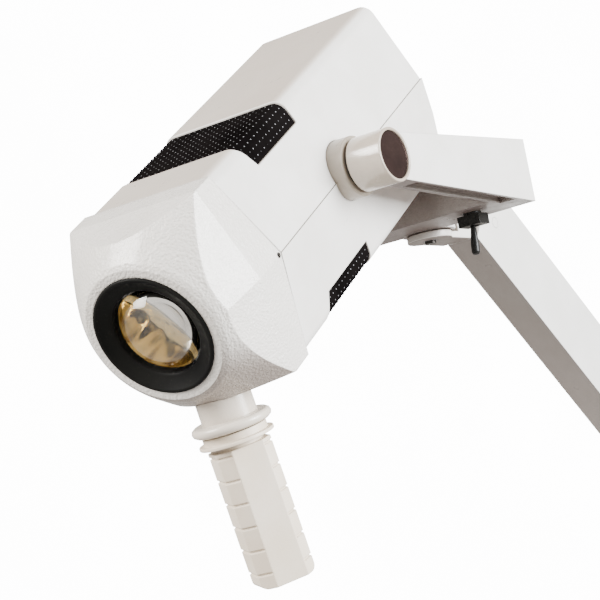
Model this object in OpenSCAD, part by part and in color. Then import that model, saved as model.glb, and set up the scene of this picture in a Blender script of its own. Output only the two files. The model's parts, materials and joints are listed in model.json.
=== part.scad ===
// Examination lamp: a square lamp head on a forked yoke, carried by a lifting arm on a plug-in spigot.
// Origin at the shoulder of the spigot, +Z up, +X the way the lamp looks, +Y its left-hand side.

/* [Pose at rest] */
// Rise of the lifting arm above the horizontal, in degrees
arm_rise = 40; // [36:1:42]
// Drop of the light beam below the horizontal, in degrees
beam_drop = 32; // [28:1:40]

/* [Lamp head] */
// Width of the housing across its top face
head_w = 92; // [88:1:96]
// Height of the housing
head_h = 120; // [116:1:124]
// How far each side bows out along its middle line
side_bow = 10.5; // [8:0.5:12]
// Wall thickness of the housing shells
shell_t = 2.5; // [2:0.1:3]
// Radius of the long edges of the housing
edge_r = 9; // [6:1:10]
// Distance from the tilt axis back to the rear face
head_rear = 128; // [124:1:130]
// Distance from the tilt axis forward to the bezel joint
head_front = 112.8; // [110:0.2:116]
// Diameter of the lens opening
lens_d = 54; // [50:1:56]
// Outer diameter of the black lens ring
ring_d = 75; // [72:1:76]

/* [Handle] */
// Lean of the handle from the square position, in degrees
handle_lean = 17.5; // [14:0.5:20]
// Depth of the grip, front to back
grip_w = 31; // [29:1:34]
// Width of the grip, across its grooved sides
grip_span = 35; // [33:1:38]
// Size of the grip's slanted corners
grip_cut = 7.5; // [6:0.5:9]
// Length of the grip below its flange
grip_l = 83; // [80:1:92]
// Distance from one finger groove of the grip to the next
groove_pitch = 14.2; // [12:0.2:14.2]

/* [Fork] */
// Distance between the outer faces of the fork
fork_w = 180; // [178:1:184]
// Thickness of each fork arm
fork_t = 16; // [14:1:16]
// Distance from the tilt axis to the back of the fork
fork_reach = 170; // [168:1:176]
// Height of the fork at its back
fork_h = 43; // [42:1:46]
// Diameter of the pivot barrels
barrel_d = 34; // [32:1:36]

/* [Lifting arm] */
// Distance between the two arm pins
arm_l = 300; // [260:10:420]
// Depth of the arm tube
arm_d = 57.5; // [56:0.5:60]
// Width of the arm tube
arm_w = 25; // [25:1:28]
// Wall thickness of the arm tube
arm_t = 2.5; // [2:0.1:2.5]

/* [Foot] */
// Diameter of the mounting spigot
spigot_d = 16; // [14:1:18]
// Length of the mounting spigot below its shoulder
spigot_l = 45; // [35:5:60]
// Height of the lower arm pin above the shoulder
foot_h = 84; // [82:1:90]

/* [Hidden] */
$fn = 64;
// Clearance between pieces that stay still against each other
fit_gap = 0.05;
// Radial clearance of a pin that turns in its bore
run_gap = 0.05;
// Clearance between pieces that move past each other
move_gap = 0.5;
// Distance from the upper arm pin forward to the swivel axis, and from there to the tilt axis
pin_to_swivel = 75.8;
swivel_to_tilt = 177;
// Drop of the upper arm pin below the tilt axis
pin_drop = 14.3;
upper_pin = [arm_l * cos(arm_rise), 0, foot_h + arm_l * sin(arm_rise)];
tilt_axis = upper_pin + [pin_to_swivel + swivel_to_tilt, 0, pin_drop];
swivel_axis = upper_pin + [pin_to_swivel, 0, pin_drop];
half_w = head_w / 2;
half_h = head_h / 2;
// Depth of the vee in the joint between the housing and the bezel
vee = 11.1;
bezel_front = 130;
nose_front = 167.5;
joint_gap = 0.5;
boss_d = 38;
boss_in = 48.1;
boss_out = 64.5;
barrel_in = 66.5;
barrel_out = 91;
shaft_r = 6;
// Top vent: rear edge, front edge, drop down the side
top_vent = [14, 76, 17];
low_vent = [8, 78, 15];
handle_at = [141.5, 0, -56];
stem_r = 16.8;
core_r = 8;
lug_r = 19;
ear_r = 16;
ear_t = 5;
spindle_r = 5;
link_up = 16;
link_r = 2.5;
pin_r = 4;

// ---- Frames ----

// Lamp head frame: X along the beam, Z up through the head, origin on the tilt axis
module head_frame() {
    translate(tilt_axis) rotate([0, beam_drop, 0]) children();
}

// Fork frame: origin on the tilt axis, level
module fork_frame() {
    translate(tilt_axis) children();
}

// Swivel frame: origin on the swivel axis, level with the tilt axis
module swivel_frame() {
    translate(swivel_axis) children();
}

// Arm frame: X up the arm from the lower pin, Z square to it
module arm_frame() {
    translate([0, 0, foot_h]) rotate([0, -arm_rise, 0]) children();
}

// Handle frame: origin where the handle leaves the bezel, Z down the handle
module handle_frame() {
    head_frame() translate(handle_at) rotate([0, 180 - handle_lean, 0]) children();
}

// Turns a profile drawn in (Y, Z) into a solid from x0 to x1
module along_x(x0, x1) {
    translate([x0, 0, 0]) rotate([90, 0, 90]) linear_extrude(x1 - x0) children();
}

// Turns a profile drawn in (X, Z) into a solid from y0 to y1
module along_y(y0, y1) {
    translate([0, y1, 0]) rotate([90, 0, 0]) linear_extrude(y1 - y0) children();
}

// Round bar along Y from y0 to y1
module bar_y(r, y0, y1) {
    translate([0, y1, 0]) rotate([90, 0, 0]) cylinder(r = r, h = y1 - y0);
}

// Round bar along X from x0 to x1
module bar_x(r, x0, x1) {
    translate([x0, 0, 0]) rotate([0, 90, 0]) cylinder(r = r, h = x1 - x0);
}

// Both sides of the head or the fork
module both_sides() {
    children();
    mirror([0, 1, 0]) children();
}

// ---- Housing outline ----

// Points of the upper half of the section, from the right-hand middle line over the top to the left-hand one
function half_section(inset) =
    let (w = half_w - inset, h = half_h - inset, r = max(edge_r - inset, 1),
        side = norm([side_bow, half_h]), nx = half_h / side, ny = side_bow / side,
        turn = atan2(ny, nx), bow = w + side_bow * h / half_h,
        cx = w + (-r + r * ny) / nx, cy = h - r)
    concat([[bow, 0]],
        [for (k = [0:6]) let (a = turn + (90 - turn) * k / 6) [cx + r * cos(a), cy + r * sin(a)]],
        [for (k = [6:-1:0]) let (a = turn + (90 - turn) * k / 6) [-cx - r * cos(a), cy + r * sin(a)]],
        [[-bow, 0]]);

module upper_half(inset) {
    polygon(half_section(inset));
}

// Side view of the space ahead of the vee-shaped joint, moved back by the given amount
module ahead_of_joint(back) {
    x = head_front - vee - back;
    polygon([[x, 0], [x + vee * 1.5, half_h * 1.5], [x + 200, half_h * 1.5], [x + 200, -half_h * 1.5],
        [x + vee * 1.5, -half_h * 1.5]]);
}

// Side view of the top vent, grown by the given amount
module vent_outline(vent, grow, slant) {
    low = half_h - vent[2] - grow;
    polygon([[vent[0] - grow, low], [vent[1] - slant + grow, low], [vent[1] + grow, half_h],
        [vent[1] + grow, half_h + 20], [vent[0] - grow, half_h + 20]]);
}

// One housing shell, drawn as the upper one
module shell_half(rear, vent, slant) {
    difference() {
        along_x(-rear, head_front + 5) upper_half(0);
        along_x(-rear + shell_t, head_front + 6) translate([0, -0.01]) upper_half(shell_t);
        along_y(-100, 100) ahead_of_joint(joint_gap);
        along_y(-100, 100) vent_outline(vent, 0, slant);
        both_sides() bar_y(boss_d / 2 + 0.1, 30, 80);
        translate([-rear - 10, -100, -1]) cube([rear + 200, 200, 1.15]);
    }
}

// One vent grille inside its shell, drawn as the upper one
module vent_grille(vent, slant) {
    intersection() {
        along_x(vent[0] - 4, vent[1] + 4) difference() {
            upper_half(shell_t + 0.1);
            upper_half(shell_t + 1.6);
            translate([-100, -1]) square([200, 5]);
        }
        along_y(-100, 100) vent_outline(vent, 3, slant);
    }
}

module upper_housing() {
    color("whitesmoke") head_frame() shell_half(head_rear, top_vent, 7);
}

module lower_housing() {
    color("whitesmoke") head_frame() mirror([0, 0, 1]) difference() {
        shell_half(head_rear + 2, low_vent, 10);
        // The rear end draws in towards the bottom edge, so it swings clear of the fork
        translate([-head_rear - 2, 0, 0]) along_y(-100, 100) polygon([[-10, 26], [0, 26], [3, 42],
            [11.2, half_h + 1], [-10, half_h + 1]]);
    }
    // Sloped wall that closes the rear end again
    color("whitesmoke") head_frame() mirror([0, 0, 1]) intersection() {
        along_x(-head_rear - 2, -100) upper_half(0.3);
        translate([-head_rear - 2, 0, 0]) along_y(-100, 100) polygon([[0, 25], [0, 26], [3, 42],
            [10.9, half_h], [13.8, half_h], [5.6, 42.4], [2.6, 25]]);
    }
}

module top_vent_grille() {
    color([0.12, 0.11, 0.11]) head_frame() vent_grille(top_vent, 7);
}

module bottom_vent_grille() {
    color([0.12, 0.11, 0.11]) head_frame() mirror([0, 0, 1]) vent_grille(low_vent, 10);
}

// ---- Nose bezel ----

// Square body of the bezel with its four sloped facets, moved in by the given amount
module bezel_block(inset) {
    w = half_w + 0.8 - inset;
    h = half_h + 0.3 - inset;
    bow = w + side_bow - 1;
    shrink = 0.855;
    section = [[w, h], [-w, h], [-bow, 0], [-w, -h], [w, -h], [bow, 0]];
    along_x(90, bezel_front - inset / 3) polygon(section);
    hull() {
        along_x(bezel_front - inset / 3 - 0.01, bezel_front - inset / 3) polygon(section);
        along_x(bezel_front + 40, bezel_front + 40.01) polygon(section * shrink);
    }
}

// Round front of the bezel, moved in by the given amount
module bezel_round(inset) {
    rotate([0, 90, 0]) rotate_extrude($fn = 96) polygon([[0, 80 - inset],
        [110 - inset, 80 - inset], [110 - inset, 90 - inset], [77.5 - inset, bezel_front - inset],
        [63.5 - inset, 146 - inset], [50.5 - inset, 160.5 - inset], [45.5 - inset, 165.6 - inset],
        [42.5 - inset, nose_front - inset], [0, nose_front - inset]]);
}

module nose_bezel() {
    color([0.9, 0.89, 0.86]) head_frame() difference() {
        intersection() {
            bezel_block(0);
            bezel_round(0);
            along_y(-100, 100) ahead_of_joint(0);
        }
        intersection() {
            bezel_block(3);
            bezel_round(3);
        }
        bar_x(ring_d / 2 + 0.1, 150, 180);
        translate(handle_at) rotate([0, 180 - handle_lean, 0]) cylinder(r = 6.1, h = 30, center = true);
        both_sides() translate([head_front - vee + 2.4, 0, 0]) bar_y(1.7, 50, 60);
    }
}

module nose_screws() {
    color([0.25, 0.24, 0.23]) head_frame() both_sides() translate([head_front - vee + 2.4, 0, 0]) {
        difference() {
            bar_y(1.6, 51, 55.8);
            translate([0, 55.8, 0]) cube([0.7, 1.6, 2.4], center = true);
        }
    }
}

// ---- Optics ----

module lens_ring() {
    color([0.06, 0.06, 0.06]) head_frame() rotate([0, 90, 0]) rotate_extrude($fn = 96) polygon([
        [lens_d / 2, 156.5], [ring_d / 2, 156.5], [ring_d / 2, 168.2], [ring_d / 2 - 0.9, 169],
        [ring_d / 2 - 2, 169], [lens_d / 2 + 0.6, 164.6], [lens_d / 2, 163.8]]);
}

module lens_seal() {
    color([0.15, 0.15, 0.15]) head_frame() rotate([0, 90, 0]) rotate_extrude($fn = 96) polygon([
        [lens_d / 2 - 1, 155.3], [lens_d / 2 + 4, 155.3], [lens_d / 2 + 4, 156.5], [lens_d / 2 - 1, 156.5]]);
}

// Domed front lens with a flat rear face and a rim
module lens() {
    dome_r = 31;
    seat_r = lens_d / 2 - 0.3;
    base = 156.6;
    rise = dome_r - sqrt(pow(dome_r, 2) - pow(seat_r, 2));
    color([0.95, 0.93, 0.86, 0.4]) head_frame() rotate([0, 90, 0]) rotate_extrude($fn = 96) polygon(concat(
        [[0, base], [seat_r, base]],
        [for (k = [0:12]) let (a = asin(seat_r / dome_r) * (1 - k / 12))
            [dome_r * sin(a), base + 2 + rise - dome_r + dome_r * cos(a)]]));
}

module lens_tube() {
    color([0.2, 0.2, 0.2]) head_frame() {
        difference() {
            bar_x(32, 88, 155.2);
            bar_x(30, 90.5, 160);
            bar_x(26.5, 80, 100);
        }
    }
}

module heat_filter() {
    color([0.7, 0.85, 0.85, 0.4]) head_frame() bar_x(27.5, 118, 121);
}

// Bowl-shaped reflector inside the lens tube, open to the front
module reflector() {
    depth = 24;
    mouth_r = 25.5;
    color([0.85, 0.7, 0.35]) head_frame() rotate([0, 90, 0]) rotate_extrude($fn = 64) polygon(concat(
        [for (k = [0:10]) let (z = depth * (0.08 + 0.92 * k / 10)) [mouth_r * sqrt(z / depth), 92 + z]],
        [for (k = [10:-1:0]) let (z = depth * (0.08 + 0.92 * k / 10)) [mouth_r * sqrt(z / depth) - 1.2, 92.6 + z]]));
}

module halogen_bulb() {
    color([0.95, 0.95, 0.95, 0.5]) head_frame() {
        bar_x(5, 84, 104);
        translate([104, 0, 0]) sphere(r = 5);
    }
}

module bulb_socket() {
    color([0.93, 0.92, 0.88]) head_frame() difference() {
        translate([66, -9, -9]) cube([18, 18, 18]);
        translate([62, -9.5, -1]) cube([6, 19, 2]);
    }
}

// Folded frame that carries the pivots and the lamp socket
module inner_frame() {
    color([0.75, 0.76, 0.78]) head_frame() difference() {
        union() {
            both_sides() translate([-35, 45, -20]) cube([100, 3, 40]);
            translate([62, -48, -20]) cube([3.9, 96, 40]);
        }
        both_sides() bar_y(shaft_r + run_gap, 40, 60);
        both_sides() translate([-25, 0, 0]) bar_y(2.2, 40, 60);
    }
}

module terminal_block() {
    color([0.9, 0.88, 0.8]) head_frame() difference() {
        translate([42, -20, 2]) cube([19.9, 40, 14]);
        for (k = [-1:1]) translate([52, k * 12, 12]) cylinder(r = 2.5, h = 10);
    }
}

// Flat round boss on the side of the head, bored for the pivot shaft
module pivot_boss() {
    difference() {
        union() {
            bar_y(boss_d / 2, 52.5, boss_out);
            bar_y(14, boss_in, 53);
        }
        bar_y(shaft_r + run_gap, 40, 70);
    }
}

module left_pivot_boss() {
    color([0.86, 0.82, 0.75]) head_frame() pivot_boss();
}

module right_pivot_boss() {
    color([0.86, 0.82, 0.75]) head_frame() mirror([0, 1, 0]) pivot_boss();
}

module housing_screws() {
    color([0.6, 0.6, 0.6]) head_frame() for (side = [-1, 1], spot = [[-head_rear, 28], [-head_rear - 2, -18]])
        translate([spot[0] - 0.6, side * 30, spot[1]]) difference() {
            bar_x(3.2, 0, 0.55);
            translate([-0.1, -2.4, -0.35]) cube([0.4, 4.8, 0.7]);
        }
}

// ---- Handle ----

module handle_stem() {
    // The stem's upper end is cut to the slope of the bezel that it sits on
    color([0.93, 0.92, 0.89]) difference() {
        handle_frame() cylinder(r = stem_r, h = 19);
        head_frame() intersection() {
            bezel_block(-fit_gap);
            bezel_round(-fit_gap);
        }
    }
    color([0.93, 0.92, 0.89]) handle_frame() difference() {
        union() {
            translate([0, 0, 18.7]) rotate_extrude() polygon([[0, -3], [21.8, -3], [23.6, -1.8], [24.2, 0],
                [23.6, 1.8], [21.8, 3], [0, 3]]);
            translate([0, 0, -7]) cylinder(r = 6, h = 24);
            translate([0, 0, 16]) cylinder(r = core_r, h = 72);
        }
        translate([0, 0, 80]) cylinder(r = 2, h = 10);
    }
}

// Grip sleeve: a rounded bar with cross grooves on both sides and a thin flange on top
module grip_section(inset) {
    x = grip_w / 2 - inset;
    y = grip_span / 2 - inset;
    // The slanted corners move in by the same distance as the sides
    cut = grip_cut - inset * (2 - sqrt(2));
    polygon([[x, cut - y], [x, y - cut], [x - cut, y], [cut - x, y],
        [-x, y - cut], [-x, cut - y], [cut - x, -y], [x - cut, -y]]);
}

module handle_grip() {
    top = 25.2;
    turn = -53;
    color([0.9, 0.87, 0.78]) handle_frame() rotate([0, 0, turn]) difference() {
        union() {
            translate([0, 0, top - 2.6]) cylinder(r = 19.4, h = 5);
            translate([0, 0, top + 1.8]) cylinder(r = 22.6, h = 2.2);
            translate([0, 0, top + 3.8]) cylinder(r = grip_w / 2 - 1, h = 4.2);
            translate([0, 0, top + 7]) intersection() {
                linear_extrude(grip_l) grip_section(0);
                rotate([90, 0, 90]) translate([0, 0, -40]) linear_extrude(80) hull() {
                    translate([-grip_span / 2, 0]) square([grip_span, 20]);
                    for (side = [-1, 1]) translate([side * (grip_span / 2 - 4), grip_l - 4])
                        circle(r = 4, $fn = 32);
                }
            }
        }
        translate([0, 0, top - 4]) cylinder(r = core_r + 0.1, h = 73);
        for (k = [0:5]) translate([0, 0, top + 9.4 + k * groove_pitch]) linear_extrude(1.3) difference() {
            for (side = [-1, 1]) translate([-20, side * (grip_span / 2 - grip_cut + 6) - 6]) square([40, 12]);
            grip_section(1);
        }
    }
}

// ---- Fork ----

// Side view of the fork: a slim wedge, deeper at the back
module fork_side() {
    front_h = 28.5;
    polygon([[4, front_h / 2], [-fork_reach, fork_h / 2], [-fork_reach, -fork_h / 2], [4, -front_h / 2]]);
}

// Plan of the fork: two arms and a crossbar with a swivel lug behind it
module fork_plan() {
    inner = fork_w / 2 - fork_t;
    difference() {
        union() {
            translate([-fork_reach, -fork_w / 2]) square([fork_reach + 4, fork_w]);
            translate([-swivel_to_tilt, 0]) circle(r = lug_r);
        }
        translate([-fork_reach + 35.5, -inner]) square([fork_reach, 2 * inner]);
    }
}

module yoke_fork() {
    color([0.88, 0.89, 0.9]) fork_frame() difference() {
        intersection() {
            union() {
                along_y(-100, 100) fork_side();
                translate([-swivel_to_tilt, 0, -fork_h / 2]) cylinder(r = lug_r, h = fork_h);
            }
            translate([0, 0, -50]) linear_extrude(100) fork_plan();
        }
        both_sides() bar_y(barrel_d / 2 + fit_gap, 60, 120);
        translate([-swivel_to_tilt, 0, -60]) cylinder(r = spindle_r + run_gap, h = 120);
        // Cable way inside each arm, closed by the inner cover strips
        both_sides() translate([-132, fork_w / 2 - fork_t - 1, -6]) cube([108, 9, 12]);
        // Each arm is a channel, hollow on its underside
        both_sides() along_y(fork_w / 2 - fork_t + 2.2, fork_w / 2 - 2.2) polygon([[-146, -30], [-146, -17],
            [-24, -11.6], [-24, -30]]);
        // Pocket for the switch under the crossbar
        translate([-151, 51, -30]) cylinder(r = 6.1, h = 22);
    }
}

module pivot_barrel() {
    difference() {
        bar_y(barrel_d / 2, barrel_in, barrel_out);
        bar_y(barrel_d / 2 - 2, barrel_out - 3.5, barrel_out + 1);
        bar_y(shaft_r, barrel_in - 1, barrel_out - 4);
    }
}

module left_pivot_barrel() {
    color([0.93, 0.9, 0.84]) fork_frame() pivot_barrel();
}

module right_pivot_barrel() {
    color([0.93, 0.9, 0.84]) fork_frame() mirror([0, 1, 0]) pivot_barrel();
}

module pivot_cap() {
    bar_y(barrel_d / 2 - 2.1, barrel_out - 3.4, barrel_out - 1);
}

module left_pivot_cap() {
    color([0.2, 0.14, 0.13]) fork_frame() pivot_cap();
}

module right_pivot_cap() {
    color([0.2, 0.14, 0.13]) fork_frame() mirror([0, 1, 0]) pivot_cap();
}

// Shaft fixed in the barrel, with its journal in the boss and a retaining head inside the frame
module pivot_shaft() {
    bar_y(shaft_r - 0.02, 43.5, barrel_out - 4.2);
    bar_y(9, 41, 43.6);
}

module left_pivot_shaft() {
    color("silver") fork_frame() pivot_shaft();
}

module right_pivot_shaft() {
    color("silver") fork_frame() mirror([0, 1, 0]) pivot_shaft();
}

module tilt_washers() {
    color([0.2, 0.18, 0.16]) fork_frame() both_sides() difference() {
        bar_y(15, boss_out + 0.35, barrel_in - 0.02);
        bar_y(shaft_r + 0.1, boss_out, barrel_in + 1);
    }
}

module fork_cover() {
    inner = fork_w / 2 - fork_t;
    difference() {
        intersection() {
            along_y(inner - 1.6, inner - 0.05) polygon([[-22, 13.6], [-132, 18.4], [-132, -18.4], [-22, -13.6]]);
            translate([-140, 60, -40]) cube([130, 30, 80]);
        }
        for (x = [-126, -28]) translate([x, 0, 0]) bar_y(1.6, 60, 90);
    }
}

module left_fork_cover() {
    color([0.85, 0.83, 0.79]) fork_frame() fork_cover();
}

module right_fork_cover() {
    color([0.85, 0.83, 0.79]) fork_frame() mirror([0, 1, 0]) fork_cover();
}

module cover_screws() {
    inner = fork_w / 2 - fork_t;
    color([0.25, 0.24, 0.23]) fork_frame() both_sides() for (x = [-126, -28])
        translate([x, 0, 0]) bar_y(1.5, inner - 2.2, inner - 0.1);
}

module switch_body() {
    color([0.07, 0.07, 0.07]) fork_frame() translate([-151, 51, 0]) difference() {
        union() {
            translate([0, 0, -23.5]) cylinder(r = 6, h = 15);
            translate([-6.5, -8.5, -29.5]) cube([13, 17, 7.3]);
        }
        translate([0, 0, -31]) cylinder(r = 3.6, h = 14);
    }
}

module switch_lever() {
    color([0.05, 0.05, 0.05]) fork_frame() translate([-150, 51, -25.5]) rotate([0, 170, 0]) rotate_extrude($fn = 32)
        polygon([[0, -1], [1.5, -0.5], [1.6, 4], [2.2, 9], [2.9, 17], [2.9, 22.5], [2.2, 24], [0, 24.4]]);
}

// ---- Swivel knuckle ----

module swivel_knuckle() {
    lug_h = fork_h / 2;
    ear_gap = 0.5;
    color([0.87, 0.86, 0.83]) swivel_frame() difference() {
        union() {
            for (level = [-lug_h - ear_gap - ear_t, lug_h + ear_gap]) translate([0, 0, level]) {
                cylinder(r = ear_r, h = ear_t);
                translate([-38, -12.5, 0]) cube([38, 25, ear_t]);
            }
            translate([-38, -12.5, -lug_h - ear_gap - ear_t]) cube([17.5, 25, fork_h + 2 * (ear_gap + ear_t)]);
            along_y(-9.5, 9.5) polygon([[-36, -pin_drop + 9], [-pin_to_swivel, -pin_drop + 9],
                [-pin_to_swivel, -pin_drop - 5.5], [-36, -pin_drop - 5.5]]);
            translate([-pin_to_swivel, 0, -pin_drop]) bar_y(10.5, -9.5, 9.5);
            translate([-pin_to_swivel, 0, -pin_drop + link_up]) bar_y(5.5, -9.5, 9.5);
            translate([-pin_to_swivel - 5.5, -9.5, -pin_drop]) cube([11, 19, link_up]);
        }
        translate([0, 0, -60]) cylinder(r = spindle_r, h = 120);
        translate([-pin_to_swivel, 0, -pin_drop]) bar_y(pin_r + run_gap, -20, 20);
        translate([-pin_to_swivel, 0, -pin_drop]) link_slot();
    }
}

// Slot for the levelling link above an arm pin, and the holes for the link's own pin
module link_slot() {
    difference() {
        translate([-20, -3.5, 0]) cube([40, 7, 40]);
        bar_y(7.6, -5, 5);
    }
    translate([0, 0, link_up]) bar_y(link_r + 0.02, -20, 20);
}

module link_pin() {
    translate([0, 0, link_up]) bar_y(link_r, -9.5, 9.5);
}

module upper_link_pin() {
    color("silver") translate(upper_pin) link_pin();
}

module lower_link_pin() {
    color("silver") translate([0, 0, foot_h]) link_pin();
}

module swivel_spindle() {
    reach = fork_h / 2 + 0.5 + ear_t;
    color("silver") swivel_frame() difference() {
        translate([0, 0, -reach]) cylinder(r = spindle_r - 0.02, h = 2 * reach);
        translate([0, 0, -reach - 1]) cylinder(r = 2, h = 9);
    }
}

module spindle_screw() {
    reach = fork_h / 2 + 0.5 + ear_t;
    color([0.1, 0.09, 0.09]) swivel_frame() {
        translate([0, 0, -reach - 2]) cylinder(r = 4, h = 1.95);
        translate([0, 0, -reach - 0.1]) cylinder(r = 1.95, h = 7);
    }
}

module swivel_washers() {
    color([0.3, 0.28, 0.26]) swivel_frame() both_ends() translate([0, 0, fork_h / 2 + 0.12]) difference() {
        cylinder(r = 12, h = 0.36);
        translate([0, 0, -1]) cylinder(r = spindle_r + 0.1, h = 3);
    }
}

module both_ends() {
    children();
    mirror([0, 0, 1]) children();
}

// ---- Lifting arm ----

module arm_tube() {
    end = 16;
    color([0.86, 0.87, 0.88]) arm_frame() difference() {
        translate([-end, -arm_w / 2, -arm_d / 2]) cube([arm_l + 2 * end, arm_w, arm_d]);
        translate([-end - 1, -arm_w / 2 + arm_t, -arm_d / 2 + arm_t])
            cube([arm_l + 2 * end + 2, arm_w - 2 * arm_t, arm_d - 2 * arm_t]);
        // The bottom wall is cut away round the lower knuckle
        translate([-end - 1, -arm_w / 2 + arm_t, -arm_d / 2 - 1]) cube([end + 44, arm_w - 2 * arm_t, arm_t + 2]);
        // Rounded lower end
        along_y(-30, 30) difference() {
            translate([-40, -40]) square([40, 80]);
            circle(r = arm_d / 2);
        }
        for (x = [0, arm_l]) translate([x, 0, 0]) bar_y(pin_r + 0.02, -20, 20);
    }
}

module upper_arm_pin() {
    color("silver") arm_frame() translate([arm_l, 0, 0]) bar_y(pin_r, -arm_w / 2, arm_w / 2);
}

module lower_arm_pin() {
    color("silver") arm_frame() bar_y(pin_r, -arm_w / 2, arm_w / 2);
}

// The coil is drawn as a plain sleeve of its outer size
module balance_spring() {
    color([0.5, 0.5, 0.52]) arm_frame() translate([0, 0, -17]) difference() {
        bar_x(7.5, 90, 220);
        bar_x(5.5, 80, 230);
    }
}

module spring_rod() {
    color([0.6, 0.6, 0.62]) arm_frame() {
        translate([0, 0, -17]) {
            bar_x(3, 70, 240);
            bar_x(7.5, 84, 89.8);
            bar_x(7.5, 220.2, 226);
        }
        // Anchor bracket fixed to the bottom wall of the arm
        translate([240, -8, -arm_d / 2 + arm_t]) cube([6, 16, 18]);
    }
}

module levelling_link() {
    color([0.7, 0.7, 0.72]) translate([0, 0, foot_h + link_up]) rotate([0, -arm_rise, 0]) difference() {
        union() {
            for (x = [0, arm_l]) translate([x, 0, 0]) bar_y(4.8, -3, 3);
            translate([0, -3, -3]) cube([arm_l, 6, 6]);
        }
        bar_y(link_r + run_gap, -5, 5);
        translate([arm_l, 0, 0]) bar_y(link_r + 0.4, -5, 5);
    }
}

// ---- Foot ----

module lower_knuckle() {
    body_h = 38;
    body_base = 6;
    color([0.87, 0.86, 0.83]) difference() {
        union() {
            translate([0, 0, body_base]) cylinder(r = 20, h = body_h - body_base);
            translate([-10.5, -9.5, body_h - 2]) cube([21, 19, foot_h - body_h + 2]);
            translate([0, 0, foot_h]) bar_y(10.5, -9.5, 9.5);
            translate([0, 0, foot_h + link_up]) bar_y(5.5, -9.5, 9.5);
            translate([-5.5, -9.5, foot_h]) cube([11, 19, link_up]);
        }
        translate([0, 0, foot_h]) bar_y(pin_r + run_gap, -20, 20);
        translate([0, 0, foot_h]) link_slot();
        translate([0, 0, -1]) cylinder(r = spigot_d / 2 + run_gap, h = 31);
        translate([0, 0, 28]) cylinder(r = 11, h = 6);
    }
}

module thrust_washer() {
    color([0.92, 0.92, 0.9]) translate([0, 0, 4.55]) difference() {
        cylinder(r = 18, h = 1.1);
        translate([0, 0, -1]) cylinder(r = spigot_d / 2 + 0.05, h = 4);
    }
}

module retaining_screw() {
    color([0.5, 0.5, 0.5]) translate([0, 0, 28.6]) {
        cylinder(r = 10, h = 1.6);
        cylinder(r = 5, h = 4.6);
        translate([0, 0, -10]) cylinder(r = 2.95, h = 11);
    }
}

module mounting_spigot() {
    color([0.78, 0.78, 0.8]) difference() {
        union() {
            translate([0, 0, -spigot_l]) cylinder(r = spigot_d / 2, h = spigot_l + 28.5);
            cylinder(r = 20, h = 4.5);
        }
        translate([0, 0, 18]) cylinder(r = 3, h = 20);
    }
}

upper_housing();
lower_housing();
top_vent_grille();
bottom_vent_grille();
nose_bezel();
nose_screws();
lens_ring();
lens_seal();
lens();
lens_tube();
heat_filter();
reflector();
halogen_bulb();
bulb_socket();
inner_frame();
terminal_block();
left_pivot_boss();
right_pivot_boss();
housing_screws();
handle_stem();
handle_grip();
yoke_fork();
left_pivot_barrel();
right_pivot_barrel();
left_pivot_cap();
right_pivot_cap();
left_pivot_shaft();
right_pivot_shaft();
tilt_washers();
left_fork_cover();
right_fork_cover();
cover_screws();
switch_body();
switch_lever();
swivel_knuckle();
swivel_spindle();
spindle_screw();
swivel_washers();
arm_tube();
upper_arm_pin();
lower_arm_pin();
balance_spring();
spring_rod();
levelling_link();
upper_link_pin();
lower_link_pin();
lower_knuckle();
thrust_washer();
retaining_screw();
mounting_spigot();
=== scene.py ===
"""Looks of the examination lamp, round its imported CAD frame. Metres, +Z up, +X the way the lamp looks."""
import json
import math

import bmesh
import bpy
from mathutils import Matrix, Vector

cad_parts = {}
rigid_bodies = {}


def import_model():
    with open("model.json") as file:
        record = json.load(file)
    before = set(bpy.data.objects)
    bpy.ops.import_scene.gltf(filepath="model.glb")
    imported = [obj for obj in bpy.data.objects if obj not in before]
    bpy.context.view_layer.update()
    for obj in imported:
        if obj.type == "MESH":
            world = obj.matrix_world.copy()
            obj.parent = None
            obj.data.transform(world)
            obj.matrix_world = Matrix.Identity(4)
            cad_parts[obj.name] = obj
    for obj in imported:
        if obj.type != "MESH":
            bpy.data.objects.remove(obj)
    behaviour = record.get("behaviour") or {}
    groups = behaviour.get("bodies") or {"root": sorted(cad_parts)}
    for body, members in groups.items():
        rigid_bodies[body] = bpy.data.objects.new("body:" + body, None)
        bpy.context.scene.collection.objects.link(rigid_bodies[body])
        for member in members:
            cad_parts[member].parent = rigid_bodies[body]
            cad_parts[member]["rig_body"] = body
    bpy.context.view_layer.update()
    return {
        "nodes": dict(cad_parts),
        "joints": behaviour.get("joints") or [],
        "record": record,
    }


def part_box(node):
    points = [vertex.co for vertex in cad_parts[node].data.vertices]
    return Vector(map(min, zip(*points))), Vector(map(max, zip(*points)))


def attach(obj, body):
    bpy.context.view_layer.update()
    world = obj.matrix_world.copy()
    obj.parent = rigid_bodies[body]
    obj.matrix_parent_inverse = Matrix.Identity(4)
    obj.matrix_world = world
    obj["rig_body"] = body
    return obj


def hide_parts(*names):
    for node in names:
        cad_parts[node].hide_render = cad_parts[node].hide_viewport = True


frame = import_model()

MM = 0.001
JOINTS = {joint["name"]: joint for joint in frame["joints"]}
SLOT_OF = {part["node"]: part["material_slot"] for part in frame["record"]["subparts"]}

# ---- Frames of the lamp ----

BEAM_DROP = math.radians(32)
ARM_RISE = math.radians(40)
TILT_AXIS = Vector(JOINTS["head_tilt"]["pos_m"])
LIFT_AXIS = Vector(JOINTS["arm_lift"]["pos_m"])
# Head frame: X along the beam, Y to the lamp's left, Z up through the head, origin on the tilt axis
HEAD = Matrix.Translation(TILT_AXIS) @ Matrix.Rotation(BEAM_DROP, 4, "Y")
# Arm frame: X up the arm from the lower pin
ARM = Matrix.Translation(LIFT_AXIS) @ Matrix.Rotation(-ARM_RISE, 4, "Y")


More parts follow.
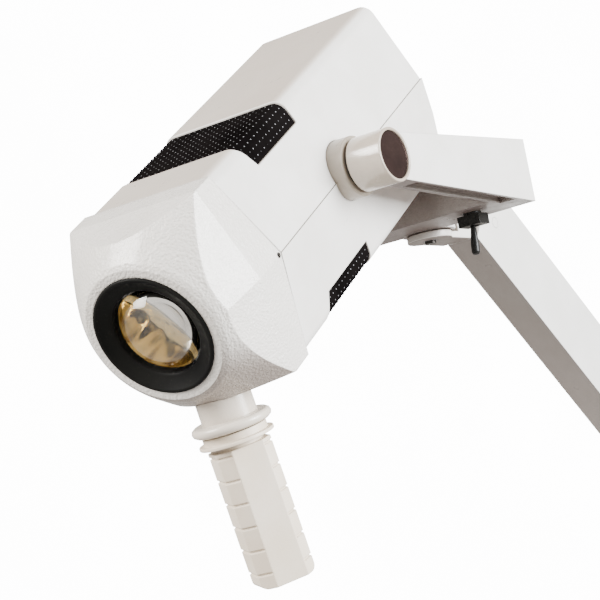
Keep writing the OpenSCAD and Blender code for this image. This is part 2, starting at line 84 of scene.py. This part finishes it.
def span(node, turned):
    """Lowest and highest corner of a CAD node, measured in a turned frame."""
    back = turned.inverted()
    points = [back @ v.co for v in frame["nodes"][node].data.vertices]
    low = Vector(min(p[i] for p in points) for i in range(3))
    high = Vector(max(p[i] for p in points) for i in range(3))
    return low, high


# ---- Node helpers ----


class Shader:
    """A material with one Principled shader, and short calls that add nodes to it."""

    def __init__(self, name):
        self.material = bpy.data.materials.new(name)
        self.material.use_nodes = True
        self.tree = self.material.node_tree
        self.shader = self.tree.nodes["Principled BSDF"]
        self.place = self.add("ShaderNodeTexCoord").outputs["Object"]

    def add(self, kind, **settings):
        node = self.tree.nodes.new(kind)
        for key, value in settings.items():
            setattr(node, key, value)
        return node

    def link(self, source, target):
        self.tree.links.new(source, target)

    def noise(self, scale, detail=3.0, rough=0.55, stretch=None):
        node = self.add("ShaderNodeTexNoise")
        node.inputs["Scale"].default_value = scale
        node.inputs["Detail"].default_value = detail
        node.inputs["Roughness"].default_value = rough
        place = self.place
        if stretch:
            mapping = self.add("ShaderNodeMapping")
            mapping.inputs["Scale"].default_value = stretch
            self.link(self.place, mapping.inputs["Vector"])
            place = mapping.outputs["Vector"]
        self.link(place, node.inputs["Vector"])
        return node.outputs["Fac"]

    def cells(self, scale, smooth=0.6):
        node = self.add("ShaderNodeTexVoronoi", feature="SMOOTH_F1")
        node.inputs["Scale"].default_value = scale
        node.inputs["Smoothness"].default_value = smooth
        self.link(self.place, node.inputs["Vector"])
        return node.outputs["Distance"]

    def ramp(self, value, low, high, out_low=0.0, out_high=1.0):
        node = self.add("ShaderNodeMapRange", interpolation_type="SMOOTHSTEP")
        node.inputs["From Min"].default_value = low
        node.inputs["From Max"].default_value = high
        node.inputs["To Min"].default_value = out_low
        node.inputs["To Max"].default_value = out_high
        self.link(value, node.inputs["Value"])
        return node.outputs["Result"]

    def times(self, first, second):
        node = self.add("ShaderNodeMath", operation="MULTIPLY")
        self.link(first, node.inputs[0])
        self.link(second, node.inputs[1])
        return node.outputs["Value"]

    def mix(self, factor, first, second):
        node = self.add("ShaderNodeMix", data_type="RGBA")
        self.link(factor, node.inputs["Factor"])
        for value, name in ((first, "A"), (second, "B")):
            target = [s for s in node.inputs if s.name == name and s.type == "RGBA"][0]
            if isinstance(value, (tuple, list)):
                target.default_value = (*value, 1.0)
            else:
                self.link(value, target)
        return [s for s in node.outputs if s.type == "RGBA"][0]

    def rounded(self, radius):
        node = self.add("ShaderNodeBevel", samples=4)
        node.inputs["Radius"].default_value = radius
        return node.outputs["Normal"]

    def edges(self, radius):
        """1 on sharp edges, 0 on flat ground."""
        geometry = self.add("ShaderNodeNewGeometry")
        dot = self.add("ShaderNodeVectorMath", operation="DOT_PRODUCT")
        self.link(self.rounded(radius), dot.inputs[0])
        self.link(geometry.outputs["Normal"], dot.inputs[1])
        return self.ramp(dot.outputs["Value"], 0.995, 0.85)

    def corners(self, reach):
        """1 deep in corners, 0 in the open."""
        node = self.add("ShaderNodeAmbientOcclusion", samples=4)
        node.inputs["Distance"].default_value = reach
        return self.ramp(node.outputs["AO"], 0.85, 0.35)

    def facing(self, start, full):
        """0 to 1 by how far up (or down, for negative limits) the surface faces."""
        split = self.add("ShaderNodeSeparateXYZ")
        self.link(self.add("ShaderNodeTexCoord").outputs["Normal"], split.inputs["Vector"])
        return self.ramp(split.outputs["Z"], start, full)

    def bump(self, height, depth, normal=None):
        node = self.add("ShaderNodeBump")
        node.inputs["Distance"].default_value = depth
        self.link(height, node.inputs["Height"])
        if normal is not None:
            self.link(normal, node.inputs["Normal"])
        return node.outputs["Normal"]

    def value(self, name, number):
        self.shader.inputs[name].default_value = number

    def feed(self, name, source):
        self.link(source, self.shader.inputs[name])


def painted(name, base, tone, rough, peel=(420, 0.00004), pebble=None, wear=0.35, dirt_and_shade=(0.36, 0.31, 0.25),
            edge=0.0009, coat=0.0, specular=0.5, painted_shade=None, painted_top_shade=None, painted_glints=None):
    """Sprayed or moulded surface: mottled colour, rubbed edges, dust and painted shading in corners, orange
    peel or pebbles.

    peel and pebble are (scale, depth) of bumps. painted_shade is (colour, share on surfaces that face down,
    reach of corners, share in corners): painted shading and shadow. painted_top_shade is (colour, share on
    surfaces that face up): painted shading on top. painted_glints colours the highest points paler: a
    painted glint.
    """
    s = Shader(name)
    blotch = s.ramp(s.noise(26, 5, 0.6), 0.34, 0.68)
    colour = s.mix(blotch, base, tone)
    rubbed = s.times(s.edges(edge * 1.3), s.ramp(s.noise(170, 4), 0.5, 0.72, 0.0, wear))
    colour = s.mix(rubbed, colour, tuple(c * 0.62 for c in tone))
    # Painted shading on top: surfaces that face up are mixed towards a darker warm colour.
    if painted_top_shade:
        tint, most = painted_top_shade
        patches = s.ramp(s.noise(9, 4), 0.3, 0.7, most - 0.1, most)
        colour = s.mix(s.times(s.facing(0.62, 0.84), patches), colour, tint)
    # Painted shading and shadow: surfaces that face down, and corners that other parts overhang, are mixed
    # towards a dark colour.
    if painted_shade:
        tint, below, reach, inside = painted_shade
        patches = s.ramp(s.noise(14, 4), 0.3, 0.7, below - 0.08, below)
        colour = s.mix(s.times(s.facing(-0.5, -0.85), patches), colour, tint)
        patches = s.ramp(s.noise(11, 4), 0.3, 0.7, inside - 0.1, inside)
        colour = s.mix(s.times(s.corners(reach), patches), colour, tint)
    # Painted glints: points marked in the mesh are coloured paler.
    if painted_glints:
        spot = s.add("ShaderNodeAttribute", attribute_name="painted_glint").outputs["Fac"]
        colour = s.mix(s.times(s.ramp(spot, 0.35, 0.9), s.ramp(s.noise(150, 3), 0.3, 0.62)), colour, painted_glints)
    # Darker in small corners and creases: dust, and partly painted shading.
    grime_and_shade = s.times(s.corners(0.007), s.ramp(s.noise(60, 4), 0.3, 0.75, 0.12, 0.6))
    colour = s.mix(grime_and_shade, colour, dirt_and_shade)
    fleck = s.ramp(s.noise(2600, 2), 0.71, 0.8, 0.0, 0.22)
    colour = s.mix(fleck, colour, tuple(c * 0.7 for c in tone))
    s.feed("Base Color", colour)
    s.feed("Roughness", s.ramp(s.noise(75, 5, 0.65), 0.28, 0.75, rough - 0.07, rough + 0.09))
    normal = s.bump(s.noise(peel[0], 2), peel[1], s.rounded(edge))
    if pebble:
        normal = s.bump(s.cells(pebble[0]), pebble[1], normal)
        normal = s.bump(s.noise(pebble[0] * 1.7, 3), pebble[1] * 0.7, normal)
    s.feed("Normal", normal)
    s.value("Coat Weight", coat)
    s.value("Coat Roughness", 0.12)
    s.value("Specular IOR Level", specular)
    return s.material


def metal(name, base, tone, rough, stretch=(900, 40, 900), depth=0.000015, edge=0.0004, hammered=None):
    """Turned, rolled or polished metal with fine lines, stains and bright edges, and hammered if asked."""
    s = Shader(name)
    stain = s.ramp(s.noise(48, 5, 0.62), 0.36, 0.7)
    colour = s.mix(stain, base, tone)
    colour = s.mix(s.times(s.edges(edge * 1.5), s.ramp(s.noise(220, 3), 0.4, 0.6)), colour,
                   tuple(min(1.0, c * 1.35 + 0.03) for c in base))
    # Darker in corners: dust, and partly painted shading.
    colour = s.mix(s.times(s.corners(0.005), s.ramp(s.noise(90, 4), 0.3, 0.7, 0.2, 0.8)), colour,
                   tuple(c * 0.35 for c in tone))
    s.feed("Base Color", colour)
    lines = s.noise(1.0, 3, 0.5, stretch)
    s.feed("Roughness", s.ramp(lines, 0.3, 0.7, max(0.03, rough - 0.06), rough + 0.1))
    normal = s.bump(lines, depth, s.rounded(edge))
    if hammered:
        normal = s.bump(s.cells(hammered[0]), hammered[1], normal)
    s.feed("Normal", normal)
    s.value("Metallic", 1.0)
    return s.material


def clear(name, tint, rough=0.015, ior=1.5):
    """Clear glass with faint smears and a slight unevenness."""
    s = Shader(name)
    smear = s.noise(70, 4, 0.6, (1.0, 2.2, 0.6))
    s.feed("Roughness", s.ramp(smear, 0.5, 0.82, 0.0, rough * 3))
    s.feed("Base Color", s.mix(s.ramp(smear, 0.3, 0.8), tint, tuple(c * 0.97 for c in tint)))
    s.feed("Normal", s.bump(s.noise(55, 1), 0.00006))
    s.value("Transmission Weight", 1.0)
    s.value("IOR", ior)
    return s.material


MATERIALS = {
    # Painted shading: the housing's surfaces that face up are painted a darker warm beige.
    "housing_paint": painted("housing_paint", (0.80, 0.78, 0.75), (0.745, 0.725, 0.69), 0.34, edge=0.0012,
                             painted_top_shade=((0.45, 0.385, 0.32), 0.85)),
    # Painted shading: the nose's surfaces that face down are painted a darker brown.
    "bezel_paint": painted("bezel_paint", (0.80, 0.77, 0.725), (0.75, 0.72, 0.67), 0.27,
                           pebble=(600, 0.00046), edge=0.0016, coat=0.6,
                           painted_shade=((0.25, 0.20, 0.17), 0.92, 0.02, 0.3)),
    # Painted glints: the highest points of the grille are painted pale grey.
    "vent_black": painted("vent_black", (0.003, 0.0025, 0.0025), (0.006, 0.005, 0.005), 0.42, wear=0.2,
                          dirt_and_shade=(0.012, 0.010, 0.010), edge=0.0002, specular=0.0, painted_glints=(0.26, 0.26, 0.27)),
    "ring_black": painted("ring_black", (0.007, 0.007, 0.007), (0.011, 0.011, 0.010), 0.48, wear=0.3,
                          dirt_and_shade=(0.018, 0.017, 0.016), edge=0.0006, specular=0.04),
    "seal_rubber": painted("seal_rubber", (0.02, 0.02, 0.02), (0.03, 0.03, 0.03), 0.6, wear=0.0,
                           dirt_and_shade=(0.05, 0.045, 0.04), edge=0.0004),
    "lens_glass": clear("lens_glass", (1.0, 0.985, 0.94)),
    "tube_black": painted("tube_black", (0.02, 0.02, 0.02), (0.03, 0.028, 0.026), 0.5, wear=0.1,
                          dirt_and_shade=(0.05, 0.045, 0.04)),
    "filter_glass": clear("filter_glass", (0.86, 0.97, 0.97)),
    "reflector_gold": metal("reflector_gold", (0.92, 0.76, 0.42), (0.80, 0.61, 0.31), 0.12,
                            (260, 260, 260), 0.00003, hammered=(420, 0.0003)),
    "bulb_glass": clear("bulb_glass", (1.0, 1.0, 1.0)),
    "socket_ceramic": painted("socket_ceramic", (0.82, 0.80, 0.76), (0.76, 0.73, 0.68), 0.5, edge=0.0004),
    "frame_metal": metal("frame_metal", (0.62, 0.63, 0.65), (0.5, 0.5, 0.51), 0.38, (60, 900, 900)),
    "terminal_plastic": painted("terminal_plastic", (0.78, 0.75, 0.66), (0.72, 0.68, 0.58), 0.45,
                                edge=0.0004),
    "boss_plastic": painted("boss_plastic", (0.36, 0.31, 0.25), (0.31, 0.262, 0.205), 0.3,
                            edge=0.0007, coat=0.2),
    "barrel_paint": painted("barrel_paint", (0.45, 0.385, 0.315), (0.39, 0.33, 0.265), 0.22,
                            edge=0.0009, coat=0.6),
    "cap_mirror": metal("cap_mirror", (0.10, 0.059, 0.054), (0.062, 0.036, 0.034), 0.1,
                        (700, 30, 700), 0.000012),
    "steel": metal("steel", (0.56, 0.56, 0.57), (0.42, 0.42, 0.43), 0.28),
    "washer_dark": painted("washer_dark", (0.03, 0.024, 0.021), (0.045, 0.037, 0.032), 0.55, wear=0.1,
                           dirt_and_shade=(0.06, 0.05, 0.045), edge=0.0003),
    "screw_dark": metal("screw_dark", (0.07, 0.065, 0.06), (0.045, 0.04, 0.037), 0.35, (500, 500, 500)),
    "stem_plastic": painted("stem_plastic", (0.70, 0.63, 0.545), (0.63, 0.565, 0.475), 0.3,
                            edge=0.0006, coat=0.2),
    "grip_plastic": painted("grip_plastic", (0.79, 0.70, 0.58), (0.73, 0.63, 0.50), 0.4, peel=(700, 0.00005),
                            edge=0.0008),
    # Painted shadow: the fork's underside and the insides of its arms are painted dark brown.
    "fork_paint": painted("fork_paint", (0.80, 0.785, 0.76), (0.75, 0.735, 0.70), 0.33, edge=0.0014,
                          painted_shade=((0.085, 0.048, 0.040), 0.9, 0.18, 1.0)),
    "cover_plastic": painted("cover_plastic", (0.22, 0.15, 0.125), (0.18, 0.12, 0.10), 0.4, edge=0.0005),
    "switch_black": painted("switch_black", (0.006, 0.006, 0.006), (0.010, 0.010, 0.009), 0.32, wear=0.2,
                            dirt_and_shade=(0.02, 0.018, 0.016), edge=0.0005, specular=0.22),
    # Painted shading: the knuckle's underside and corners are painted dark brown.
    "knuckle_paint": painted("knuckle_paint", (0.76, 0.74, 0.70), (0.70, 0.68, 0.64), 0.36, edge=0.0014,
                             painted_shade=((0.14, 0.10, 0.085), 0.85, 0.04, 0.7)),
    # Painted shading: the arm's underside and corners are painted dark brown.
    "arm_paint": painted("arm_paint", (0.80, 0.79, 0.765), (0.75, 0.74, 0.71), 0.34, edge=0.0014,
                         painted_shade=((0.15, 0.108, 0.088), 0.92, 0.03, 0.5)),
    "spring_steel": metal("spring_steel", (0.34, 0.34, 0.36), (0.24, 0.23, 0.22), 0.33, (500, 500, 500)),
    "nylon": painted("nylon", (0.84, 0.84, 0.80), (0.78, 0.77, 0.72), 0.5, edge=0.0003),
}

for name, node in frame["nodes"].items():
    node.data.materials.clear()
    node.data.materials.append(MATERIALS[SLOT_OF[name]])

# ---- Mesh helpers ----


def place(mesh_name, bm, body, slot, nodes=(), angle=35):
    """Makes an object from a bmesh, with its body, its material and the CAD nodes that it stands for."""
    mesh = bpy.data.meshes.new(mesh_name)
    bm.to_mesh(mesh)
    bm.free()
    for layer in ("custom_normal", "sharp_face"):
        if layer in mesh.attributes:
            mesh.attributes.remove(mesh.attributes[layer])
    mesh.polygons.foreach_set("use_smooth", [True] * len(mesh.polygons))
    mesh.set_sharp_from_angle(angle=math.radians(angle))
    mesh.materials.clear()
    mesh.materials.append(MATERIALS[slot])
    obj = bpy.data.objects.new(mesh_name, mesh)
    bpy.context.scene.collection.objects.link(obj)
    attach(obj, body)
    if nodes:
        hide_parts(*nodes)
    return obj


def soft_copy(node, width, steps):
    """A copy of a CAD node with its sharp edges rounded off."""
    bm = bmesh.new()
    bm.from_mesh(frame["nodes"][node].data)
    bmesh.ops.remove_doubles(bm, verts=bm.verts, dist=0.002 * MM)
    bmesh.ops.dissolve_limit(bm, angle_limit=math.radians(0.5), verts=bm.verts, edges=bm.edges)
    bm.normal_update()
    body = frame["nodes"][node]["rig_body"]
    obj = place("soft_" + node, bm, body, SLOT_OF[node], [node], 180)
    bevel = obj.modifiers.new("edges", "BEVEL")
    bevel.width = width * MM
    bevel.segments = steps
    bevel.limit_method = "ANGLE"
    bevel.angle_limit = math.radians(40)
    bevel.use_clamp_overlap = True
    bevel.harden_normals = False
    normals = obj.modifiers.new("normals", "WEIGHTED_NORMAL")
    normals.weight = 80
    return obj


def lathe(name, profile, turned, body, slot, nodes=(), segments=96, ripple=(0, 0.0), closed=True, angle=35):
    """Revolves (radius, along) points round the X of a frame. Points with no radius close the ends."""
    bm = bmesh.new()
    rings = []
    for radius, along in profile:
        if radius <= 0:
            rings.append([bm.verts.new(turned @ Vector((along, 0, 0)))])
            continue
        ring = []
        for k in range(segments):
            turn = 2 * math.pi * k / segments
            r = radius + ripple[1] * math.cos(ripple[0] * turn)
            ring.append(bm.verts.new(turned @ Vector((along, r * math.cos(turn), r * math.sin(turn)))))
        rings.append(ring)
    pairs = list(zip(rings, rings[1:]))
    if closed:
        pairs.append((rings[-1], rings[0]))
    for first, second in pairs:
        if len(first) == 1 and len(second) == 1:
            continue
        for k in range(segments):
            n = (k + 1) % segments
            corners = [first[k % len(first)], first[n % len(first)],
                       second[n % len(second)], second[k % len(second)]]
            unique = []
            for corner in corners:
                if corner not in unique:
                    unique.append(corner)
            bm.faces.new(unique)
    bmesh.ops.recalc_face_normals(bm, faces=bm.faces)
    return place(name, bm, body, slot, nodes, angle)


# ---- Housing, fork, arm and handle with rounded edges ----

# CAD node, width of its rounding in millimetres, and steps in it
for node, width, steps in (
        ("upper_housing", 0.7, 3), ("lower_housing", 0.7, 3), ("yoke_fork", 1.6, 4),
        ("arm_tube", 1.2, 3), ("swivel_knuckle", 1.0, 3), ("lower_knuckle", 1.0, 3),
        ("handle_stem", 0.5, 3), ("handle_grip", 0.6, 3), ("left_pivot_barrel", 0.8, 3),
        ("right_pivot_barrel", 0.8, 3), ("left_pivot_boss", 0.8, 3), ("right_pivot_boss", 0.8, 3),
        ("left_pivot_cap", 0.4, 2), ("right_pivot_cap", 0.4, 2),
        ("switch_body", 0.6, 3), ("mounting_spigot", 0.8, 3)):
    soft_copy(node, width, steps)

# ---- Vent grilles: sheets of raised points that follow the section of the housing ----

HEAD_W, HEAD_H, SIDE_BOW, EDGE_R = 92 * MM, 120 * MM, 10.5 * MM, 9 * MM
POINT_PITCH = 4.6 * MM
SHEET_T = 1.3 * MM
# Each raised point as rings: (radius as a share of the pitch, height above the sheet)
POINT_RINGS = ((0.21, 0.0), (0.18, 0.16 * MM), (0.12, 0.29 * MM), (0.07, 0.34 * MM))


def section_path(inset, low):
    """Points of the housing's section, moved in, from the left side over the top to the right side."""
    w, h = HEAD_W / 2 - inset, HEAD_H / 2 - inset
    r = max(EDGE_R - inset, 1 * MM)
    side = math.hypot(SIDE_BOW, HEAD_H / 2)
    nx, ny = HEAD_H / 2 / side, SIDE_BOW / side
    turn = math.atan2(ny, nx)
    cx, cy = w + (-r + r * ny) / nx, h - r
    angles = [turn + (math.pi / 2 - turn) * k / 8 for k in range(9)]
    arc = [(cx + r * math.cos(a), cy + r * math.sin(a)) for a in angles]
    drop = arc[0][1] - low
    foot = (arc[0][0] + drop * SIDE_BOW / (HEAD_H / 2), low)
    half = [foot] + arc
    return half + [(-x, y) for x, y in reversed(half)]


def along_path(path, distance):
    """Point and outward direction at a distance along a path."""
    for (x0, y0), (x1, y1) in zip(path, path[1:]):
        step = math.hypot(x1 - x0, y1 - y0)
        if distance <= step or (x1, y1) == path[-1]:
            t = distance / step
            return x0 + (x1 - x0) * t, y0 + (y1 - y0) * t, (y1 - y0) / step, -(x1 - x0) / step
        distance -= step


def grille(name, node, flip, recess):
    """Sheet of raised points for a vent, set below the housing's face, with its edges inside the wall."""
    low, high = span(node, HEAD)
    bottom = low.z if flip > 0 else -high.z
    path = section_path(recess, bottom)
    length = sum(math.hypot(b[0] - a[0], b[1] - a[1]) for a, b in zip(path, path[1:]))
    rows = round(length / POINT_PITCH)
    columns = round((high.x - low.x) / POINT_PITCH)
    step_s, step_u = length / rows, (high.x - low.x) / columns
    bm = bmesh.new()
    painted_glint = bm.verts.layers.float.new("painted_glint")
    shared = {}

    def vertex(u, s, level):
        y, z, ny, nz = along_path(path, min(max(s, 0), length))
        if ny * y + nz * z < 0:
            ny, nz = -ny, -nz
        key = (round(u / MM, 3), round(s / MM, 3), round(level / MM, 3))
        if key not in shared:
            point = Vector((u, y + ny * level, flip * (z + nz * level)))
            shared[key] = bm.verts.new(HEAD @ point)
            # Points on the highest rings are marked 1; the paint colours them paler as a painted glint.
            shared[key][painted_glint] = 1.0 if level > 0.3 * MM else 0.0
        return shared[key]

    for i in range(columns):
        for j in range(rows):
            u0, s0 = low.x + i * step_u, j * step_s
            uc, sc = u0 + step_u / 2, s0 + step_s / 2
            border = [vertex(u0 + step_u * a, s0 + step_s * b, 0) for a, b in
                      ((1, 0.5), (1, 1), (0.5, 1), (0, 1), (0, 0.5), (0, 0), (0.5, 0), (1, 0))]
            previous = border
            for share, level in POINT_RINGS:
                ring = [vertex(uc + step_u * share * math.cos(k * math.pi / 4),
                               sc + step_s * share * math.sin(k * math.pi / 4), level) for k in range(8)]
                for k in range(8):
                    n = (k + 1) % 8
                    bm.faces.new((previous[k], previous[n], ring[n], ring[k]))
                previous = ring
            bm.faces.new(previous)
    border = [(low.x + i * step_u / 2, 0) for i in range(2 * columns)]
    border += [(high.x, j * step_s / 2) for j in range(2 * rows)]
    border += [(high.x - i * step_u / 2, length) for i in range(2 * columns)]
    border += [(low.x, length - j * step_s / 2) for j in range(2 * rows)]
    back = -SHEET_T
    for (u0, s0), (u1, s1) in zip(border, border[1:] + border[:1]):
        bm.faces.new((vertex(u0, s0, 0), vertex(u1, s1, 0), vertex(u1, s1, back), vertex(u0, s0, back)))
    for i in range(2 * columns):
        for j in range(2 * rows):
            u0, s0 = low.x + i * step_u / 2, j * step_s / 2
            u1, s1 = u0 + step_u / 2, s0 + step_s / 2
            bm.faces.new((vertex(u0, s0, back), vertex(u0, s1, back),
                          vertex(u1, s1, back), vertex(u1, s0, back)))
    bmesh.ops.recalc_face_normals(bm, faces=bm.faces)
    return place(name, bm, "head", "vent_black", [node], 30)


grille("top_grille", "top_vent_grille", 1, 1.3 * MM)
grille("bottom_grille", "bottom_vent_grille", -1, 0.8 * MM)

# ---- Optics ----

lens_low, lens_high = span("lens", HEAD)
SEAT_R = (lens_high.y - lens_low.y) / 2
DOME_R = 31 * MM
dome_angle = math.asin(SEAT_R / DOME_R)
dome_centre = lens_high.x - DOME_R
dome_angles = [dome_angle * (1 - k / 28) for k in range(28)]
dome = [(DOME_R * math.sin(a), dome_centre + DOME_R * math.cos(a)) for a in dome_angles]
lathe("domed_lens", [(0, lens_low.x), (SEAT_R, lens_low.x)] + dome + [(0, lens_high.x)], HEAD, "head",
      "lens_glass", ["lens"], 128, closed=False, angle=50)

ring_low, ring_high = span("lens_ring", HEAD)
RING_R, OPENING_R = ring_high.y, SEAT_R + 0.3 * MM
ring_back, ring_face = ring_low.x, ring_high.x
lathe("black_ring", [
    (OPENING_R, ring_back), (RING_R, ring_back), (RING_R, ring_face - 1.2 * MM),
    (RING_R - 0.25 * MM, ring_face - 0.5 * MM), (RING_R - 0.7 * MM, ring_face - 0.1 * MM),
    (RING_R - 1.2 * MM, ring_face), (RING_R - 2 * MM, ring_face - 0.15 * MM),
    (RING_R - 2.4 * MM, ring_face - 0.5 * MM), (OPENING_R + 1.2 * MM, ring_face - 4.4 * MM),
    (OPENING_R + 0.5 * MM, ring_face - 4.75 * MM), (OPENING_R + 0.1 * MM, ring_face - 5.3 * MM)],
      HEAD, "head", "ring_black", ["lens_ring"], 192)

# Gold bowl between the heat filter and the lens, with a small opening at its root for the light
tube_high = span("lens_tube", HEAD)[1]
filter_high = span("heat_filter", HEAD)[1]
LINER_T = 0.8 * MM
root, mouth = filter_high.x + 0.5 * MM, tube_high.x - 0.4 * MM
liner = [(4.0 * MM + 22.5 * MM * math.sqrt(k / 20), root + (mouth - root) * k / 20) for k in range(21)]
outer = [(r + LINER_T, x) for r, x in reversed(liner)]
lathe("gold_liner", liner + outer, HEAD, "head", "reflector_gold", segments=216, ripple=(36, 0.14 * MM))

bowl_high = span("reflector", HEAD)[1]
DEPTH, MOUTH = 24 * MM, 25.3 * MM
base_x = bowl_high.x - DEPTH
shares = [0.08 + 0.92 * k / 16 for k in range(16)]
inner = [(MOUTH * math.sqrt(t) - 1.2 * MM, base_x + DEPTH * t + 0.4 * MM) for t in shares]
back = [(r + 1.0 * MM, x - 0.4 * MM) for r, x in reversed(inner)]
lathe("gold_reflector", inner + back, HEAD, "head", "reflector_gold", ["reflector"], 144,
      ripple=(24, 0.18 * MM))

# ---- Coil of the balance spring ----


def coil(name, node, turned, body, slot, wire, turns):
    low, high = span(node, turned)
    centre = (low + high) / 2
    radius = (high.z - low.z) / 2 - wire
    bm = bmesh.new()
    steps, sides = turns * 28, 10
    length = high.x - low.x - 2 * wire
    rings = []
    for k in range(steps + 1):
        t = k / steps
        turn = 2 * math.pi * turns * t
        out = Vector((0, math.cos(turn), math.sin(turn)))
        middle = Vector((low.x + wire + length * t, centre.y, centre.z)) + out * radius
        rings.append([bm.verts.new(turned @ (middle + wire * (math.cos(2 * math.pi * q / sides) * out
                      + math.sin(2 * math.pi * q / sides) * Vector((1, 0, 0))))) for q in range(sides)])
    for first, second in zip(rings, rings[1:]):
        for q in range(sides):
            n = (q + 1) % sides
            bm.faces.new((first[q], first[n], second[n], second[q]))
    bm.faces.new(rings[0])
    bm.faces.new(list(reversed(rings[-1])))
    bmesh.ops.recalc_face_normals(bm, faces=bm.faces)
    return place(name, bm, body, slot, [node], 50)


coil("spring_coil", "balance_spring", ARM, "arm", "spring_steel", 0.95 * MM, 46)

# ---- Studio ----


def disc(name, radius, where, material):
    """Flat round sheet of the studio, drawn in the X-Y plane of a frame."""
    bm = bmesh.new()
    rim = [bm.verts.new(where @ Vector((radius * math.cos(2 * math.pi * k / 96),
                                        radius * math.sin(2 * math.pi * k / 96), 0))) for k in range(96)]
    bm.faces.new(rim)
    mesh = bpy.data.meshes.new(name)
    bm.to_mesh(mesh)
    bm.free()
    mesh.materials.append(material)
    obj = bpy.data.objects.new(name, mesh)
    bpy.context.scene.collection.objects.link(obj)
    return obj


floor_paint = Shader("floor_paint")
floor_paint.feed("Base Color", floor_paint.mix(floor_paint.ramp(floor_paint.noise(1.5, 4), 0.3, 0.7),
                                               (0.90, 0.89, 0.88), (0.88, 0.87, 0.86)))
floor_paint.feed("Roughness", floor_paint.ramp(floor_paint.noise(12, 4), 0.3, 0.7, 0.75, 0.9))
# The lamp hangs at working height, on the bracket or stand that its spigot plugs into
WORKING_HEIGHT = 1.15
FLOOR_R = 14.0
FLOOR_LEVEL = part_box("mounting_spigot")[0].z - WORKING_HEIGHT
disc("floor", FLOOR_R, Matrix.Translation((0, 0, FLOOR_LEVEL)), floor_paint.material)

world = bpy.data.worlds.new("studio")
world.use_nodes = True
sky = world.node_tree.nodes["Background"]
sky.inputs["Color"].default_value = (1.0, 0.95, 0.90, 1)
sky.inputs["Strength"].default_value = 0.80
bpy.context.scene.world = world


def softbox(name, power, size, offset, tint, spread):
    """Square light aimed at the tilt axis, placed by its offset from it."""
    data = bpy.data.lights.new(name, "AREA")
    data.energy = power
    data.shape = "SQUARE"
    data.size = size
    data.color = tint
    data.spread = math.radians(spread)
    lamp = bpy.data.objects.new(name, data)
    bpy.context.scene.collection.objects.link(lamp)
    lamp.location = TILT_AXIS + Vector(offset)
    lamp.rotation_mode = "QUATERNION"
    lamp.rotation_quaternion = (-Vector(offset)).to_track_quat("-Z", "Y")
    lamp.visible_camera = False
    return lamp


softbox("key", 36, 1.3, (-0.4, 1.9, 0.35), (0.965, 0.985, 1.0), 70)
softbox("front", 17, 1.1, (1.5, -0.95, 0.95), (1.0, 0.975, 0.94), 60)

# ---- Camera ----

FOCAL = 110.126
CAMERA_OFFSET = Vector((0.92651, 0.64291, -0.21069))
CAMERA_RIGHT = Vector((-0.57697, 0.79629, -0.18173))
CAMERA_FORWARD = Vector((-0.81676, -0.5634, 0.12444))

camera_data = bpy.data.cameras.new("camera")
camera_data.sensor_width = 36.0
camera_data.lens = FOCAL
camera_data.clip_start = 0.01
camera_data.clip_end = 200.0
camera = bpy.data.objects.new("camera", camera_data)
bpy.context.scene.collection.objects.link(camera)
ahead = CAMERA_FORWARD.normalized()
back_axis = -ahead
right_axis = (CAMERA_RIGHT - CAMERA_RIGHT.dot(back_axis) * back_axis).normalized()
up_axis = back_axis.cross(right_axis)
turn = Matrix((right_axis, up_axis, back_axis)).transposed().to_4x4()
camera.matrix_world = Matrix.Translation(TILT_AXIS + CAMERA_OFFSET) @ turn
bpy.context.scene.camera = camera

# Bright white sheet behind the lamp
BACKDROP_AWAY = 6.0
BACKDROP_R = 1.8
sheet_paint = Shader("sheet_paint")
sheet_paint.value("Base Color", (0.9, 0.9, 0.9, 1.0))
sheet_paint.value("Emission Color", (1.0, 1.0, 1.0, 1.0))
sheet_paint.feed("Emission Strength", sheet_paint.ramp(sheet_paint.noise(2, 2), 0.2, 0.8, 13.5, 14.5))
backdrop_place = Matrix.Translation(TILT_AXIS + ahead * BACKDROP_AWAY) @ turn
backdrop = disc("backdrop", BACKDROP_R, backdrop_place, sheet_paint.material)
backdrop.visible_diffuse = backdrop.visible_glossy = False
